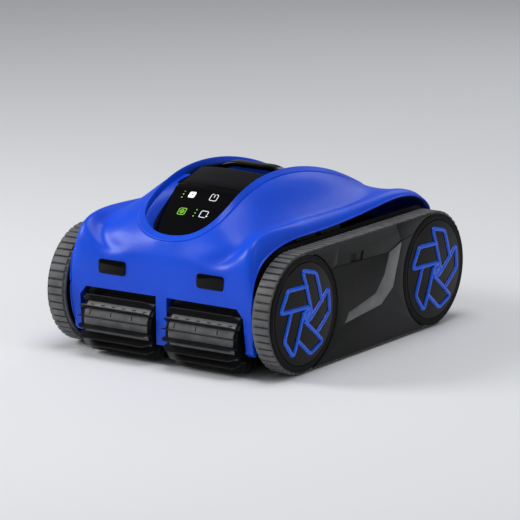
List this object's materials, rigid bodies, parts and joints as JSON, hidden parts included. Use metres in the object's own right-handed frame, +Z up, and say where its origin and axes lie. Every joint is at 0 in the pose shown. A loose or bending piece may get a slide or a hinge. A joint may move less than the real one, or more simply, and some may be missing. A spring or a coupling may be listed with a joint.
{
  "type": "pool cleaning robot",
  "caption": "Cordless tracked pool cleaner: blue shell, side tracks, roller brushes in front, hinged filter lid, carry handle and touch panel.",
  "frame": {"origin": "on the ground under the middle of the overall box", "axes": "-Y is the front with the roller brushes, +X is the machine's left-hand track seen from its front, +Z is up"},
  "size_m": [0.3378, 0.4448, 0.2183],
  "materials": {
    "shell_blue": "satin",
    "trim_blue": "satin",
    "hull_black": "satin",
    "gloss_black": "polished",
    "panel_grey": "satin",
    "inlay_grey": "satin",
    "track_rubber": "matte",
    "brush_rubber": "matte",
    "core_grey": "satin",
    "steel": "brushed",
    "gear_white": "satin",
    "motor_grey": "satin",
    "board_green": "satin",
    "light_guide": "polished",
    "foam_grey": "matte",
    "mesh_grey": "matte"
  },
  "bodies": {
    "chassis": {"battery_pack": "motor_grey", "brush_bushes": "gear_white", "carry_handle": "gloss_black", "charging_port": "panel_grey", "control_box": "motor_grey", "control_panel": "gloss_black", "display_board": "board_green", "drive_motor_left": "motor_grey", "drive_motor_right": "motor_grey", "filter_basket": "hull_black", "filter_mesh": "mesh_grey", "float_block_left": "foam_grey", "float_block_right": "foam_grey", "hull_screws": "steel", "indicator_lights": "light_guide", "intake_duct": "hull_black", "lid_hinge_pin": "steel", "lid_seal": "track_rubber", "lower_hull": "hull_black", "outlet_grille": "hull_black", "pump_duct": "hull_black", "pump_motor": "motor_grey", "rear_axle_left": "steel", "rear_axle_right": "steel", "sensor_window_left": "gloss_black", "sensor_window_right": "gloss_black", "shaft_bushes": "gear_white", "side_inlay_left": "inlay_grey", "side_inlay_right": "inlay_grey", "side_panel_left": "panel_grey", "side_panel_right": "panel_grey", "top_deck": "hull_black", "top_shell": "shell_blue", "track_belt_left": "track_rubber", "track_belt_right": "track_rubber"},
    "front_wheel_set_left": {"front_wheel_left": "hull_black", "front_hub_cap_left": "gloss_black", "front_fan_trim_left": "trim_blue", "drive_shaft_left": "gear_white"},
    "rear_wheel_set_left": {"rear_wheel_left": "hull_black", "rear_hub_cap_left": "gloss_black", "rear_fan_trim_left": "trim_blue"},
    "brush_left": {"brush_core_left": "core_grey", "brush_blades_left": "brush_rubber"},
    "idler_left": {"idler_gear_left": "gear_white"},
    "pinion_left": {"motor_pinion_left": "gear_white"},
    "front_wheel_set_right": {"front_wheel_right": "hull_black", "front_hub_cap_right": "gloss_black", "front_fan_trim_right": "trim_blue", "drive_shaft_right": "gear_white"},
    "rear_wheel_set_right": {"rear_wheel_right": "hull_black", "rear_hub_cap_right": "gloss_black", "rear_fan_trim_right": "trim_blue"},
    "brush_right": {"brush_core_right": "core_grey", "brush_blades_right": "brush_rubber"},
    "idler_right": {"idler_gear_right": "gear_white"},
    "pinion_right": {"motor_pinion_right": "gear_white"},
    "impeller_rotor": {"impeller": "gear_white"},
    "lid": {"filter_lid": "shell_blue"},
    "flap": {"intake_flap": "track_rubber"}
  },
  "joints": [
    {"name": "front_wheel_spin_left", "type": "hinge", "parent": "chassis", "child": "front_wheel_set_left", "pos_m": [-0.15, -0.1409, 0.0733], "axis": [1, 0, 0], "continuous": true},
    {"name": "rear_wheel_spin_left", "type": "hinge", "parent": "chassis", "child": "rear_wheel_set_left", "pos_m": [-0.15, 0.1491, 0.0733], "axis": [1, 0, 0], "continuous": true},
    {"name": "brush_spin_left", "type": "hinge", "parent": "chassis", "child": "brush_left", "pos_m": [-0.062, -0.1809, 0.0433], "axis": [1, 0, 0], "continuous": true},
    {"name": "idler_spin_left", "type": "hinge", "parent": "chassis", "child": "idler_left", "pos_m": [-0.123, -0.1649, 0.0553], "axis": [1, 0, 0], "continuous": true},
    {"name": "pinion_spin_left", "type": "hinge", "parent": "chassis", "child": "pinion_left", "pos_m": [-0.1275, -0.1009, 0.0733], "axis": [1, 0, 0], "continuous": true},
    {"name": "front_wheel_spin_right", "type": "hinge", "parent": "chassis", "child": "front_wheel_set_right", "pos_m": [0.15, -0.1409, 0.0733], "axis": [1, 0, 0], "continuous": true},
    {"name": "rear_wheel_spin_right", "type": "hinge", "parent": "chassis", "child": "rear_wheel_set_right", "pos_m": [0.15, 0.1491, 0.0733], "axis": [1, 0, 0], "continuous": true},
    {"name": "brush_spin_right", "type": "hinge", "parent": "chassis", "child": "brush_right", "pos_m": [0.062, -0.1809, 0.0433], "axis": [1, 0, 0], "continuous": true},
    {"name": "idler_spin_right", "type": "hinge", "parent": "chassis", "child": "idler_right", "pos_m": [0.123, -0.1649, 0.0553], "axis": [1, 0, 0], "continuous": true},
    {"name": "pinion_spin_right", "type": "hinge", "parent": "chassis", "child": "pinion_right", "pos_m": [0.1275, -0.1009, 0.0733], "axis": [1, 0, 0], "continuous": true},
    {"name": "impeller_spin", "type": "hinge", "parent": "chassis", "child": "impeller_rotor", "pos_m": [0, 0.186, 0.076], "axis": [0, 1, 0], "continuous": true},
    {"name": "lid_hinge", "type": "hinge", "parent": "chassis", "child": "lid", "pos_m": [0, 0.1531, 0.1603], "axis": [-1, 0, 0], "range_deg": [0, 80]},
    {"name": "flap_hinge", "type": "hinge", "parent": "chassis", "child": "flap", "pos_m": [0, 0.089, 0.0468], "axis": [-1, 0, 0], "range_deg": [0, 60]}
  ],
  "couplings": [
    {"joint": "rear_wheel_spin_left", "follows": "front_wheel_spin_left", "ratio": 1},
    {"joint": "brush_spin_left", "follows": "front_wheel_spin_left", "ratio": 2},
    {"joint": "idler_spin_left", "follows": "front_wheel_spin_left", "ratio": -2},
    {"joint": "pinion_spin_left", "follows": "front_wheel_spin_left", "ratio": -3},
    {"joint": "rear_wheel_spin_right", "follows": "front_wheel_spin_right", "ratio": 1},
    {"joint": "brush_spin_right", "follows": "front_wheel_spin_right", "ratio": 2},
    {"joint": "idler_spin_right", "follows": "front_wheel_spin_right", "ratio": -2},
    {"joint": "pinion_spin_right", "follows": "front_wheel_spin_right", "ratio": -3}
  ]
}
